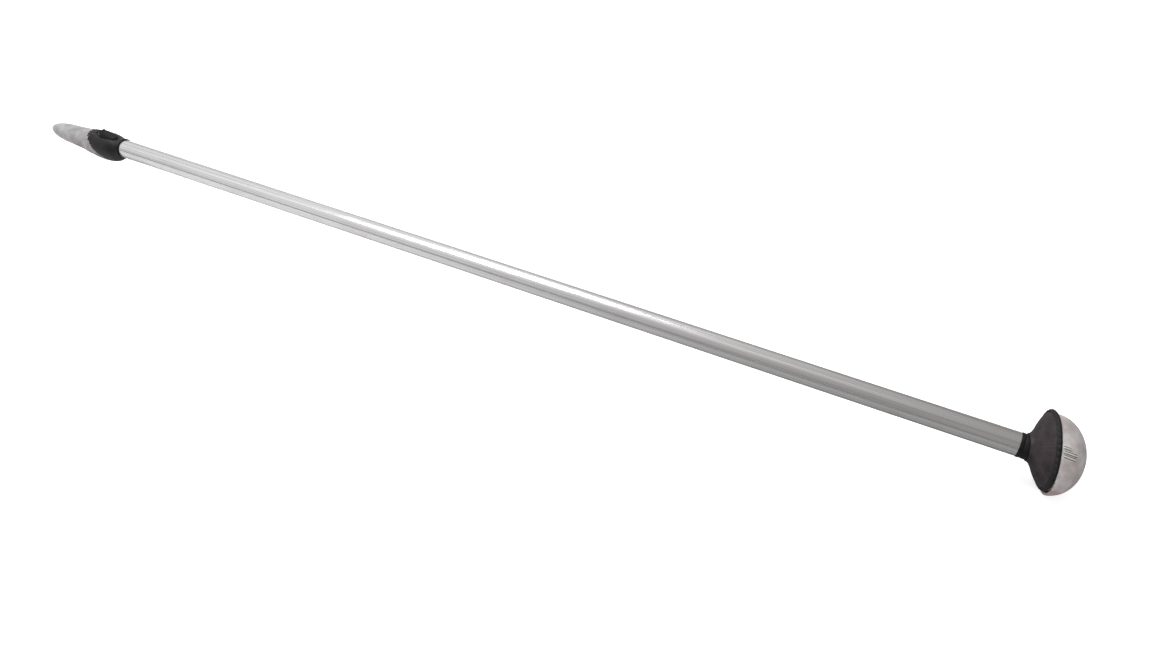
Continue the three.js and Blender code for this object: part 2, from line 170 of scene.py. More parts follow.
def white_paper():
    """Seen straight it is white and glows a little to camera rays; what the metal mirrors is a painted reflection
    tone, which falls off along X.
    """
    made = bpy.data.materials.new("white_paper")
    made.use_nodes = True
    tree = made.node_tree
    shader = tree.nodes["Principled BSDF"]
    shader.inputs["Roughness"].default_value = 0.8
    shader.inputs["Specular IOR Level"].default_value = 0.1
    shader.inputs["Emission Color"].default_value = (1, 1, 1, 1)
    ray = node(tree, "ShaderNodeLightPath")
    place = node(tree, "ShaderNodeTexCoord")
    along = node(tree, "ShaderNodeSeparateXYZ")
    # Painted reflection: for glossy rays the paper is graded from light grey to dark grey along X, so the tube
    # mirrors a light end and a dark end.
    painted_reflection_tone = node(tree, "ShaderNodeMapRange", interpolation_type="SMOOTHSTEP")
    for label, value in (("From Min", -0.3), ("From Max", 0.45), ("To Min", 0.84), ("To Max", 0.4)):
        painted_reflection_tone.inputs[label].default_value = value
    paper_with_painted_reflection = node(tree, "ShaderNodeMix", data_type="RGBA")
    paper_with_painted_reflection.inputs["A"].default_value = (0.93, 0.93, 0.93, 1)
    lift = node(tree, "ShaderNodeMath", operation="MULTIPLY")
    lift.inputs[1].default_value = 0.6
    tree.links.new(place.outputs["Object"], along.inputs["Vector"])
    tree.links.new(along.outputs["X"], painted_reflection_tone.inputs["Value"])
    tree.links.new(painted_reflection_tone.outputs["Result"], paper_with_painted_reflection.inputs["B"])
    tree.links.new(ray.outputs["Is Glossy Ray"], paper_with_painted_reflection.inputs["Factor"])
    tree.links.new(paper_with_painted_reflection.outputs["Result"], shader.inputs["Base Color"])
    tree.links.new(ray.outputs["Is Camera Ray"], lift.inputs[0])
    tree.links.new(lift.outputs["Value"], shader.inputs["Emission Strength"])
    return made


floor.data.materials.append(white_paper())


# ---------------------------------------------------------------------------------------------
# The outer section is one drawn aluminium tube, satin outside, with fine lines from the die along
# its whole length, handling smudges and a few nicks. Its ends are deburred.
# ---------------------------------------------------------------------------------------------
MM = 0.001
TUBE_SIDES = 144
TUBE_SOCKET = 14.0
TUBE_BORE_R = 11.9

tube_low, tube_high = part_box("outer_tube")
tube_r = (tube_high.z - tube_low.z) / 2 / MM
tube_length = (tube_high.x - tube_low.x) / MM
tube_shown = tube_length - TUBE_SOCKET
mouth = Vector((tube_low.x + TUBE_SOCKET * MM, pivot.y, pivot.z))
pole_place = Matrix.Translation(mouth) @ Matrix.Scale(MM, 4)


def eased(outline, radius, steps=3, closed=False):
    """The outline in millimetres with its corners rounded off by short arcs."""
    points = [Vector(point) for point in outline]
    if closed:
        corners = list(zip(points[-1:] + points[:-1], points, points[1:] + points[:1]))
    else:
        corners = list(zip(points, points[1:], points[2:]))
    rounded = [] if closed else [points[0]]
    for before, corner, after in corners:
        back = before - corner
        ahead = after - corner
        reach = min(radius, 0.45 * back.length, 0.45 * ahead.length)
        start = corner + back.normalized() * reach
        end = corner + ahead.normalized() * reach
        for step in range(steps + 1):
            t = step / steps
            rounded.append(start * (1 - t) ** 2 + corner * 2 * t * (1 - t) + end * t ** 2)
    return rounded if closed else rounded + [points[-1]]


def turned(name, outline, sides, place, ring=False, warp=None):
    """A piece turned about X. The outline's (x, r) run from axis to axis, or round a ring."""
    shape = bmesh.new()
    rows = []
    for index, (x, r) in enumerate(outline):
        if r < 1e-6:
            rows.append([shape.verts.new((x, 0, 0))])
            continue
        row = []
        for side in range(sides):
            angle = 2 * math.pi * side / sides
            spot = Vector((x, r * math.cos(angle), r * math.sin(angle)))
            row.append(shape.verts.new(warp(spot, angle, index) if warp else spot))
        rows.append(row)
    if ring:
        rows.append(rows[0])
    for row, following in zip(rows, rows[1:]):
        for side in range(sides):
            beside = (side + 1) % sides
            if len(row) == 1:
                shape.faces.new((row[0], following[beside], following[side]))
            elif len(following) == 1:
                shape.faces.new((row[side], row[beside], following[0]))
            else:
                shape.faces.new((row[side], row[beside], following[beside], following[side]))
    return finished(name, shape, place)


def finished(name, shape, place, sharp=math.radians(40)):
    """Makes the object of a bmesh that is in millimetres, smooth but for its sharp edges."""
    bmesh.ops.recalc_face_normals(shape, faces=shape.faces)
    shape.transform(place)
    data = bpy.data.meshes.new(name)
    shape.to_mesh(data)
    shape.free()
    data.polygons.foreach_set("use_smooth", [True] * len(data.polygons))
    data.set_sharp_from_angle(angle=sharp)
    piece = bpy.data.objects.new(name, data)
    scene.collection.objects.link(piece)
    return piece


def fit(piece, body, slot, finish, *nodes):
    """Gives a piece its finish, parents it to the body it rides on and hides the CAD nodes it stands for."""
    piece.data.materials.clear()
    piece.data.materials.append(finish)
    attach(piece, body)
    if nodes:
        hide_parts(*nodes)
    return piece


def effect(name, inputs, outputs):
    """An empty node group with named number inputs and typed outputs."""
    group = bpy.data.node_groups.new(name, "ShaderNodeTree")
    for label, value in inputs.items():
        socket = group.interface.new_socket(label, in_out="INPUT", socket_type="NodeSocketFloat")
        socket.default_value = value
    for label, kind in outputs.items():
        group.interface.new_socket(label, in_out="OUTPUT", socket_type=kind)
    start = node(group, "NodeGroupInput", (-900, 0))
    end = node(group, "NodeGroupOutput", (900, 0))
    return group, start, end


def noise(tree, scale, detail=3.0, roughness=0.55):
    made = node(tree, "ShaderNodeTexNoise")
    made.inputs["Scale"].default_value = scale
    made.inputs["Detail"].default_value = detail
    made.inputs["Roughness"].default_value = roughness
    return made


def spread(tree, source, low, high, to_low, to_high):
    """Maps the stretch of a texture from low to high onto another stretch, smoothly."""
    made = node(tree, "ShaderNodeMapRange", interpolation_type="SMOOTHSTEP")
    made.inputs["From Min"].default_value = low
    made.inputs["From Max"].default_value = high
    made.inputs["To Min"].default_value = to_low
    made.inputs["To Max"].default_value = to_high
    tree.links.new(source, made.inputs["Value"])
    return made.outputs["Result"]


def drawn_lines():
    """Lengthwise lines from the drawing die, with smudges: they follow the pole's own X axis."""
    group, start, end = effect(
        "drawn_lines", {"Fineness": 900.0, "Smudge scale": 16.0},
        {"Lines": "NodeSocketFloat", "Smudges": "NodeSocketFloat", "Nicks": "NodeSocketFloat"},
    )
    place = node(group, "ShaderNodeTexCoord")
    across = node(group, "ShaderNodeCombineXYZ")
    across.inputs["X"].default_value = 1.6
    stretch = node(group, "ShaderNodeVectorMath", operation="MULTIPLY")
    fine = noise(group, 1.0, 4.0, 0.65)
    smudge = noise(group, 16.0, 4.0, 0.6)
    nick_place = node(group, "ShaderNodeVectorMath", operation="MULTIPLY")
    nick_place.inputs[1].default_value = (120, 420, 420)
    nicks = noise(group, 1.0, 1.0, 0.5)
    link = group.links.new
    link(start.outputs["Fineness"], across.inputs["Y"])
    link(start.outputs["Fineness"], across.inputs["Z"])
    link(place.outputs["Object"], stretch.inputs[0])
    link(across.outputs["Vector"], stretch.inputs[1])
    link(stretch.outputs["Vector"], fine.inputs["Vector"])
    link(place.outputs["Object"], smudge.inputs["Vector"])
    link(start.outputs["Smudge scale"], smudge.inputs["Scale"])
    link(place.outputs["Object"], nick_place.inputs[0])
    link(nick_place.outputs["Vector"], nicks.inputs["Vector"])
    link(fine.outputs["Fac"], end.inputs["Lines"])
    link(spread(group, smudge.outputs["Fac"], 0.45, 0.7, 0.0, 1.0), end.inputs["Smudges"])
    link(spread(group, nicks.outputs["Fac"], 0.68, 0.74, 0.0, 1.0), end.inputs["Nicks"])
    return group


def blend_colours(tree, factor, first, second):
    made = node(tree, "ShaderNodeMix", data_type="RGBA")
    made.inputs["A"].default_value = (*first, 1)
    made.inputs["B"].default_value = (*second, 1)
    tree.links.new(factor, made.inputs["Factor"])
    return made.outputs["Result"]


def add_numbers(tree, first, second, operation="ADD"):
    made = node(tree, "ShaderNodeMath", operation=operation)
    for value, socket in zip((first, second), made.inputs):
        if isinstance(value, (int, float)):
            socket.default_value = value
        else:
            tree.links.new(value, socket)
    return made.outputs["Value"]


def raised(tree, height, shader, distance, strength=1.0):
    """Feeds a height through a Bump node into a shader's normal."""
    bump = node(tree, "ShaderNodeBump")
    bump.inputs["Distance"].default_value = distance
    bump.inputs["Strength"].default_value = strength
    tree.links.new(height, bump.inputs["Height"])
    tree.links.new(bump.outputs["Normal"], shader.inputs["Normal"])


def plain_finish(name, metallic=0.0):
    made = bpy.data.materials.new(name)
    made.use_nodes = True
    shader = made.node_tree.nodes["Principled BSDF"]
    shader.inputs["Metallic"].default_value = metallic
    return made, made.node_tree, shader


lines_group = drawn_lines()


def drawn_aluminium(name, light, dark, low_rough, high_rough):
    made, tree, shader = plain_finish(name, 1.0)
    lines = node(tree, "ShaderNodeGroup", (-700, 0), node_tree=lines_group)
    lines.inputs["Fineness"].default_value = 900.0
    lines.inputs["Smudge scale"].default_value = 16.0
    tone = blend_colours(tree, spread(tree, lines.outputs["Lines"], 0.35, 0.65, 0, 1), dark, light)
    soiled = node(tree, "ShaderNodeMix", data_type="RGBA", blend_type="MULTIPLY")
    soiled.inputs["B"].default_value = (0.86, 0.85, 0.84, 1)
    tree.links.new(add_numbers(tree, lines.outputs["Smudges"], 0.5, "MULTIPLY"), soiled.inputs["Factor"])
    tree.links.new(tone, soiled.inputs["A"])
    tree.links.new(soiled.outputs["Result"], shader.inputs["Base Color"])
    matt = spread(tree, lines.outputs["Lines"], 0.3, 0.7, low_rough, high_rough)
    smudged = add_numbers(tree, lines.outputs["Smudges"], 0.1, "MULTIPLY")
    tree.links.new(add_numbers(tree, matt, smudged), shader.inputs["Roughness"])
    dents = add_numbers(tree, lines.outputs["Nicks"], -0.6, "MULTIPLY")
    raised(tree, add_numbers(tree, lines.outputs["Lines"], dents), shader, 0.00003)
    return made


tube_finish = drawn_aluminium("drawn_tube", (0.82, 0.815, 0.815), (0.6, 0.595, 0.6), 0.16, 0.28)

outer_outline = eased([
    (-TUBE_SOCKET, TUBE_BORE_R), (-TUBE_SOCKET, tube_r), (tube_shown, tube_r), (tube_shown, TUBE_BORE_R),
], 0.3, closed=True)
outer_tube = turned("outer_tube_drawn", outer_outline, TUBE_SIDES, pole_place, ring=True)
fit(outer_tube, "outer_section", "tube", tube_finish, "outer_tube")


# ---------------------------------------------------------------------------------------------
# The inner section slides in the outer one: a slimmer tube of the same metal, cross-pinned to a
# long white nylon bush at its hidden end.
# ---------------------------------------------------------------------------------------------
INNER_WALL = 0.9
BUSH_BORE_R = 6.0
BUSH_PLUG = 24.0


def in_pole(node_name):
    """A CAD node's lowest and highest corner in millimetres from the collar's mouth."""
    low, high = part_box(node_name)
    return (low - mouth) / MM, (high - mouth) / MM


inner_low, inner_high = in_pole("inner_tube")
inner_r = inner_high.z
inner_outline = eased([
    (inner_low.x, inner_r - INNER_WALL), (inner_low.x, inner_r),
    (inner_high.x, inner_r), (inner_high.x, inner_r - INNER_WALL),
], 0.3, closed=True)
inner_tube = turned("inner_tube_drawn", inner_outline, TUBE_SIDES, pole_place, ring=True)
fit(inner_tube, "inner_section", "tube", tube_finish, "inner_tube")


def mould_grain():
    """The fine sparked skin of a moulding, and the slow unevenness of a cast surface."""
    group, start, end = effect(
        "mould_grain", {"Grain scale": 2500.0, "Wave scale": 60.0},
        {"Grain": "NodeSocketFloat", "Waves": "NodeSocketFloat"},
    )
    place = node(group, "ShaderNodeTexCoord")
    grain = noise(group, 2500.0, 3.0, 0.6)
    waves = noise(group, 60.0, 2.0, 0.5)
    link = group.links.new
    link(place.outputs["Object"], grain.inputs["Vector"])
    link(place.outputs["Object"], waves.inputs["Vector"])
    link(start.outputs["Grain scale"], grain.inputs["Scale"])
    link(start.outputs["Wave scale"], waves.inputs["Scale"])
    link(grain.outputs["Fac"], end.inputs["Grain"])
    link(waves.outputs["Fac"], end.inputs["Waves"])
    return group


def handling():
    """Where hands and floors have been: rubbed edges, scuffs and dust in the hollows."""
    group, start, end = effect(
        "handling", {"Scuff scale": 300.0},
        {"Rubbed edges": "NodeSocketFloat", "Scuffs": "NodeSocketFloat", "Dust": "NodeSocketFloat"},
    )
    place = node(group, "ShaderNodeTexCoord")
    form = node(group, "ShaderNodeNewGeometry")
    patch = noise(group, 140.0, 3.0, 0.6)
    scuff_place = node(group, "ShaderNodeVectorMath", operation="MULTIPLY")
    scuff_place.inputs[1].default_value = (0.35, 1.0, 1.0)
    scuffs = noise(group, 300.0, 4.0, 0.7)
    link = group.links.new
    link(place.outputs["Object"], patch.inputs["Vector"])
    link(place.outputs["Object"], scuff_place.inputs[0])
    link(scuff_place.outputs["Vector"], scuffs.inputs["Vector"])
    link(start.outputs["Scuff scale"], scuffs.inputs["Scale"])
    edges = spread(group, form.outputs["Pointiness"], 0.52, 0.6, 0.0, 1.0)
    hollows = spread(group, form.outputs["Pointiness"], 0.49, 0.42, 0.0, 1.0)
    patchy = spread(group, patch.outputs["Fac"], 0.4, 0.62, 0.0, 1.0)
    link(add_numbers(group, edges, patchy, "MULTIPLY"), end.inputs["Rubbed edges"])
    link(spread(group, scuffs.outputs["Fac"], 0.62, 0.72, 0.0, 1.0), end.inputs["Scuffs"])
    link(add_numbers(group, hollows, patchy, "MULTIPLY"), end.inputs["Dust"])
    return group


grain_group = mould_grain()
handling_group = handling()


def moulded(name, base, mottle, rubbed, rough, grain_scale, grain_depth, scuff=0.4):
    """A moulded plastic or rubber: grain, uneven tone, rubbed edges and scuffs."""
    made, tree, shader = plain_finish(name)
    grain = node(tree, "ShaderNodeGroup", (-900, 200), node_tree=grain_group)
    grain.inputs["Grain scale"].default_value = grain_scale
    grain.inputs["Wave scale"].default_value = 70.0
    worn = node(tree, "ShaderNodeGroup", (-900, -200), node_tree=handling_group)
    worn.inputs["Scuff scale"].default_value = 260.0
    tone = blend_colours(tree, spread(tree, grain.outputs["Waves"], 0.3, 0.7, 0, 1), base, mottle)
    touched = node(tree, "ShaderNodeMix", data_type="RGBA")
    touched.inputs["B"].default_value = (*rubbed, 1)
    marks = add_numbers(tree, worn.outputs["Scuffs"], scuff, "MULTIPLY")
    edges = add_numbers(tree, worn.outputs["Rubbed edges"], 0.8, "MULTIPLY")
    touch = add_numbers(tree, add_numbers(tree, marks, edges, "MAXIMUM"), 1.0, "MINIMUM")
    tree.links.new(touch, touched.inputs["Factor"])
    tree.links.new(tone, touched.inputs["A"])
    tree.links.new(touched.outputs["Result"], shader.inputs["Base Color"])
    satin = spread(tree, grain.outputs["Waves"], 0.3, 0.7, rough - 0.06, rough + 0.08)
    tree.links.new(add_numbers(tree, satin, add_numbers(tree, worn.outputs["Scuffs"], 0.12, "MULTIPLY")),
                   shader.inputs["Roughness"])
    raised(tree, grain.outputs["Grain"], shader, grain_depth)
    return made


white_finish = moulded("white_nylon", (0.74, 0.73, 0.69), (0.8, 0.79, 0.75), (0.62, 0.6, 0.56),
                       0.5, 1800.0, 0.00004)

bush_low, bush_high = in_pole("guide_bush")
shoulder_x = bush_low.x + BUSH_PLUG + 0.3
plug_r = inner_r - INNER_WALL - 0.3
bush_outline = eased([
    (bush_low.x, BUSH_BORE_R), (bush_low.x, plug_r), (shoulder_x, plug_r), (shoulder_x, bush_high.z),
    (bush_high.x - 2, bush_high.z), (bush_high.x, bush_high.z - 1.2), (bush_high.x, BUSH_BORE_R),
], 0.5, closed=True)
bush = turned("guide_bush_nylon", bush_outline, 72, pole_place, ring=True)
fit(bush, "inner_section", "white_nylon", white_finish, "guide_bush")


def zinc_plate():
    made, tree, shader = plain_finish("zinc_plate", 1.0)
    grain = node(tree, "ShaderNodeGroup", (-700, 0), node_tree=grain_group)
    grain.inputs["Grain scale"].default_value = 900.0
    grain.inputs["Wave scale"].default_value = 400.0
    tone = spread(tree, grain.outputs["Waves"], 0.3, 0.7, 0, 1)
    tree.links.new(blend_colours(tree, tone, (0.5, 0.5, 0.52), (0.66, 0.66, 0.65)), shader.inputs["Base Color"])
    tree.links.new(spread(tree, grain.outputs["Grain"], 0.3, 0.7, 0.25, 0.42), shader.inputs["Roughness"])
    raised(tree, grain.outputs["Grain"], shader, 0.00002)
    return made


zinc = zinc_plate()


def pin(name, node_name, axis, body):
    """A plain steel pin with chamfered ends, as long and as thick as its CAD node."""
    low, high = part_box(node_name)
    size = (high - low) / MM
    length = size[axis]
    radius = size[(axis + 1) % 3] / 2
    outline = [(-length / 2, 0), (-length / 2, radius - 0.35), (-length / 2 + 0.35, radius),
               (length / 2 - 0.35, radius), (length / 2, radius - 0.35), (length / 2, 0)]
    turn = Matrix.Rotation(math.pi / 2, 4, "Z") if axis == 1 else Matrix.Rotation(math.pi / 2, 4, "Y")
    place = Matrix.Translation((low + high) / 2) @ turn @ Matrix.Scale(MM, 4)
    fit(turned(name, outline, 40, place), body, "steel", zinc, node_name)


pin("bush_cross_pin", "bush_pin", 1, "inner_section")
pin("cone_cross_pin", "cone_pin", 1, "inner_section")


# ---------------------------------------------------------------------------------------------
# The tool cone is a grey nylon moulding. Its shank plugs into the inner tube, a skirt runs back
# round the tube to a slanted joint with the collar, and wedged-on frames have stained its base;
# painted shade makes that stain heavier underneath.
# ---------------------------------------------------------------------------------------------
SHELL_OFFSET = 3.4
OFFSET_RUN = 8.0
OFF_AXIS = Vector((0, -1, -1)).normalized()
SLANT_X = -38.0
SLANT_ANGLE = math.atan(1.4)
SLANT_GAP = 0.52
TUBE_WAY_R = 11.3
INNER_FRONT = inner_low.x - 0.3
SHANK_FROM, SHANK_TO = -66.0, -28.0
CONE_OUTLINE = [
    (-10, 17.6), (-15, 19.0), (-24, 20.1), (-33, 20.1), (-42, 19.6), (-58, 17.9), (-70, 15.7), (-80, 14.9),
    (-90, 14.3), (-100, 13.8), (-110, 13.0), (-120, 11.6), (-128, 9.6), (-134, 7.0), (-137.5, 4.9), (-139, 3.2),
]


def off_axis(x):
    """How far the collar's and the cone's circles sit off the tubes' axis."""
    return OFF_AXIS * SHELL_OFFSET * min(-x / OFFSET_RUN, 1)


def shell_warp(spot, angle, index):
    return spot + off_axis(spot.x)


def moulding_box(name, low, high, place=None):
    shape = bmesh.new()
    bmesh.ops.create_cube(shape, size=1.0)
    low, high = Vector(low), Vector(high)
    for vertex in shape.verts:
        vertex.co = Vector([mid + side * span for mid, side, span in
                            zip((low + high) / 2, vertex.co, high - low)])
    return finished(name, shape, place or pole_place)


def cones_side(shift, toward_cone=True):
    """A block that holds everything on one side of the slanted joint."""
    place = pole_place @ Matrix.Translation((SLANT_X + shift, 0, 0)) @ Matrix.Rotation(-SLANT_ANGLE, 4, "Y")
    ends = (-400, 0) if toward_cone else (0, 400)
    return moulding_box("joint_cut", (ends[0], -100, -200), (ends[1], 100, 200), place)


def carve(piece, tool, operation):
    """Joins a tool to a piece or cuts it out, and deletes the tool."""
    modifier = piece.modifiers.new("shape", "BOOLEAN")
    modifier.operation = operation
    modifier.solver = "EXACT"
    modifier.object = tool
    bpy.context.view_layer.update()
    shaped = bpy.data.meshes.new_from_object(piece.evaluated_get(bpy.context.evaluated_depsgraph_get()))
    piece.modifiers.clear()
    piece.data = shaped
    bpy.data.objects.remove(tool)


def softened(piece, voxel, passes):
    """Remeshes a carved piece evenly and rounds its edges, as a moulding's are."""
    remesh = piece.modifiers.new("even", "REMESH")
    remesh.mode = "VOXEL"
    remesh.voxel_size = voxel * MM
    remesh.use_smooth_shade = True
    relax = piece.modifiers.new("round", "SMOOTH")
    relax.factor = 0.5
    relax.iterations = passes
    bpy.context.view_layer.update()
    even = bpy.data.meshes.new_from_object(piece.evaluated_get(bpy.context.evaluated_depsgraph_get()))
    piece.modifiers.clear()
    piece.data = even
    piece.data.polygons.foreach_set("use_smooth", [True] * len(piece.data.polygons))


def round_rod(name, from_x, to_x, radius, sides=96):
    return turned(name, [(from_x, 0), (from_x, radius), (to_x, radius), (to_x, 0)], sides, pole_place)


def grimed_and_shaded_cone():
    """Grey nylon with a greenish nose and pinkish grime towards the collar; painted shade makes the grime heavier
    underneath.
    """
    made = moulded("grey_cone", (0.29, 0.3, 0.292), (0.44, 0.445, 0.445), (0.55, 0.54, 0.53), 0.48, 1500.0,
                   0.00003, 0.3)
    tree = made.node_tree
    shader = tree.nodes["Principled BSDF"]
    clean = shader.inputs["Base Color"].links[0].from_socket
    place = node(tree, "ShaderNodeTexCoord")
    parts = node(tree, "ShaderNodeSeparateXYZ")
    blotch = noise(tree, 85.0, 4.0, 0.65)
    tree.links.new(place.outputs["Object"], parts.inputs["Vector"])
    tree.links.new(place.outputs["Object"], blotch.inputs["Vector"])
    near = spread(tree, parts.outputs["X"], (mouth.x - 0.118), (mouth.x - 0.062), 0.0, 1.0)
    # Painted shade: this mask makes the pinkish stain about three times stronger on the cone's underside than on
    # its top.
    painted_underside_shade = spread(tree, parts.outputs["Z"], mouth.z + 0.010, mouth.z - 0.014, 0.3, 1.0)
    patchy = spread(tree, blotch.outputs["Fac"], 0.38, 0.6, 0.25, 1.0)
    grime_and_painted_shade = add_numbers(tree, add_numbers(tree, near, painted_underside_shade, "MULTIPLY"), patchy, "MULTIPLY")
    # The pinkish multiply colour serves both the real stain and the painted underside shade.
    stained_and_shaded = node(tree, "ShaderNodeMix", data_type="RGBA", blend_type="MULTIPLY")
    stained_and_shaded.inputs["B"].default_value = (0.5, 0.34, 0.385, 1)
    tree.links.new(add_numbers(tree, grime_and_painted_shade, 1.3, "MULTIPLY"), stained_and_shaded.inputs["Factor"])
    tree.links.new(clean, stained_and_shaded.inputs["A"])
    tree.links.new(stained_and_shaded.outputs["Result"], shader.inputs["Base Color"])
    return made


cone = turned("tool_cone_moulding", [(-10, 0)] + eased(CONE_OUTLINE, 4.0, 4) + [(-139, 0)], 144, pole_place,
              warp=shell_warp)
carve(cone, cones_side(-SLANT_GAP / 2, False), "DIFFERENCE")
carve(cone, round_rod("tube_way", INNER_FRONT, 1, TUBE_WAY_R), "DIFFERENCE")
carve(cone, round_rod("shank", SHANK_FROM, SHANK_TO, plug_r), "UNION")
softened(cone, 0.4, 4)
fit(cone, "inner_section", "grey_nylon", grimed_and_shaded_cone(), "tool_cone")


# ---------------------------------------------------------------------------------------------
# The lock collar is one black nylon moulding, bored for both tubes and screwed to the outer one.
# It is long on top and short underneath, with a flat and two ears for the lever, and a band of
# small raised blocks round its front end for the fingers.
# ---------------------------------------------------------------------------------------------
GRIP_RIBS = 24
GRIP_ROWS = 3
GRIP_BACK, GRIP_FRONT = 44.5, 59.0
GRIP_DEPTH = 1.1
GRIP_STEPS = 48
GRIP_R = 19.4
GRIP_TAPER = 0.115
LINER_R = 12.6
FLAT_Z = 15.9
FLAT_FRONT = -44.2
FLAT_HALF = 14
ABOVE = 30
PIN_HOLE_R = 1.55
PIN_HOLE_HALF = 12
SCREW_HOLE_R = 2.3
EAR_R = 2.9
EAR_Y = 4.9
EAR_HALF = 1.0
WINDOW_HALF_X = 8.0
COLLAR_OUTLINE = [(0, 14.2), (-8, 16.9), (-15, 19.0), (-24, 20.1), (-33, 20.1), (-42, 19.6), (-43.6, 19.0)]
lever_joint = next(joint for joint in frame["joints"] if joint["name"] == "lever_flip")
lever_pin = (Vector(lever_joint["pos_m"]) - mouth) / MM

black_nylon = moulded("black_nylon", (0.0085, 0.0078, 0.008), (0.016, 0.0145, 0.015), (0.07, 0.065, 0.063),
                      0.46, 1700.0, 0.00005, 0.3)
black_nylon.node_tree.nodes["Principled BSDF"].inputs["Specular IOR Level"].default_value = 0.28


def rubbed_and_highlit_block_tops(made):
    """Makes the tops of the grip's blocks lighter grey, partly as rubbed wear and partly as a painted highlight:
    the mask repeats the blocks round the pole.
    """
    tree = made.node_tree
    shader = tree.nodes["Principled BSDF"]
    unworn = shader.inputs["Base Color"].links[0].from_socket
    centre = mouth + off_axis(-GRIP_BACK) * MM
    place = node(tree, "ShaderNodeTexCoord")
    shift = node(tree, "ShaderNodeVectorMath", operation="SUBTRACT")
    shift.inputs[1].default_value = centre
    parts = node(tree, "ShaderNodeSeparateXYZ")
    tree.links.new(place.outputs["Object"], shift.inputs[0])
    tree.links.new(shift.outputs["Vector"], parts.inputs["Vector"])
    angle = add_numbers(tree, parts.outputs["Z"], parts.outputs["Y"], "ARCTAN2")
    ribs = node(tree, "ShaderNodeMath", operation="COSINE")
    tree.links.new(add_numbers(tree, angle, GRIP_RIBS, "MULTIPLY"), ribs.inputs[0])
    row_turn = 2 * math.pi * GRIP_ROWS / ((GRIP_BACK - GRIP_FRONT) * MM)
    row_start = 2 * math.pi * GRIP_ROWS * GRIP_BACK / (GRIP_BACK - GRIP_FRONT)
    along = add_numbers(tree, parts.outputs["X"], row_turn, "MULTIPLY")
    along = add_numbers(tree, along, row_start, "ADD")
    rows = node(tree, "ShaderNodeMath", operation="COSINE")
    tree.links.new(along, rows.inputs[0])
    in_band = spread(tree, parts.outputs["X"], (-GRIP_BACK + 0.6) * MM, (-GRIP_BACK - 0.6) * MM, 0.0, 1.0)
    tops = add_numbers(tree, spread(tree, ribs.outputs["Value"], 0.15, 0.8, 0.0, 1.0),
                       spread(tree, rows.outputs["Value"], 0.3, -0.6, 0.0, 1.0), "MULTIPLY")
    patch = noise(tree, 190.0, 2.0, 0.5)
    tree.links.new(place.outputs["Object"], patch.inputs["Vector"])
    worn = add_numbers(tree, tops, spread(tree, patch.outputs["Fac"], 0.35, 0.65, 0.15, 1.0), "MULTIPLY")
    # Lighter grey on the block tops: rubbed wear and a painted highlight together.
    rubbed = node(tree, "ShaderNodeMix", data_type="RGBA")
    rubbed.inputs["B"].default_value = (0.13, 0.122, 0.118, 1)
    tree.links.new(add_numbers(tree, worn, in_band, "MULTIPLY"), rubbed.inputs["Factor"])
    tree.links.new(unworn, rubbed.inputs["A"])
    tree.links.new(rubbed.outputs["Result"], shader.inputs["Base Color"])


rubbed_and_highlit_block_tops(black_nylon)


def grip_height(s, angle):
    """1 on top of a block of the grip band, 0 in the grooves between the blocks."""
    along = (s - GRIP_BACK) / (GRIP_FRONT - GRIP_BACK)
    if along < 0 or along > 1:
        return 1.0
    rib = min(max(0.5 + 1.4 * math.cos(GRIP_RIBS * angle), 0), 1)
    row = min(max(0.8 - 1.3 * math.cos(2 * math.pi * GRIP_ROWS * along), 0), 1)
    return rib * row


def collar_warp(spot, angle, index):
    radius = math.hypot(spot.y, spot.z)
    keep = (radius - GRIP_DEPTH * (1 - grip_height(-spot.x, angle))) / radius
    return Vector((spot.x, spot.y * keep, spot.z * keep)) + off_axis(spot.x)


def cross_rod(name, x, z, y_from, y_to, radius):
    place = pole_place @ Matrix.Translation((x, (y_from + y_to) / 2, z)) @ Matrix.Rotation(math.pi / 2, 4, "Z")
    half = (y_to - y_from) / 2
    return turned(name, [(-half, 0), (-half, radius), (half, radius), (half, 0)], 48, place)


collar_rows = [(0, 0)] + eased(COLLAR_OUTLINE, 4.0, 4)
for step in range(GRIP_STEPS + 1):
    s = GRIP_BACK + (GRIP_FRONT - GRIP_BACK) * step / GRIP_STEPS
    collar_rows.append(Vector((-s, GRIP_R - GRIP_TAPER * (s - GRIP_BACK))))
collar_rows += [Vector((-59.6, 17.4)), Vector((-70, 15.7)), Vector((-70, 0))]
collar = turned("collar_moulding", collar_rows, GRIP_RIBS * 10, pole_place, warp=collar_warp)
carve(collar, cones_side(SLANT_GAP / 2), "DIFFERENCE")
carve(collar, moulding_box("flat", (FLAT_FRONT, -FLAT_HALF, FLAT_Z), (4, FLAT_HALF, ABOVE)), "DIFFERENCE")
for side in (1, -1):
    ear_from, ear_to = sorted((side * (EAR_Y - EAR_HALF), side * (EAR_Y + EAR_HALF)))
    carve(collar, cross_rod("ear", lever_pin.x, lever_pin.z, ear_from, ear_to, EAR_R), "UNION")
    carve(collar, moulding_box("ear_foot", (lever_pin.x - EAR_R, ear_from, LINER_R),
                               (lever_pin.x + EAR_R, ear_to, lever_pin.z)), "UNION")
window_y = EAR_Y - EAR_HALF
carve(collar, moulding_box("window", (lever_pin.x - WINDOW_HALF_X, -window_y, 8),
                           (lever_pin.x + WINDOW_HALF_X, window_y, ABOVE)), "DIFFERENCE")
carve(collar, round_rod("bore", -80, 4, LINER_R + 0.3), "DIFFERENCE")
carve(collar, cross_rod("pin_hole", lever_pin.x, lever_pin.z, -PIN_HOLE_HALF, PIN_HOLE_HALF, PIN_HOLE_R),
      "DIFFERENCE")
screw_x = in_pole("collar_screw")[0].x + 2
screw_place = pole_place @ Matrix.Translation((screw_x, 0, 0)) @ Matrix.Rotation(math.pi / 2, 4, "Y")
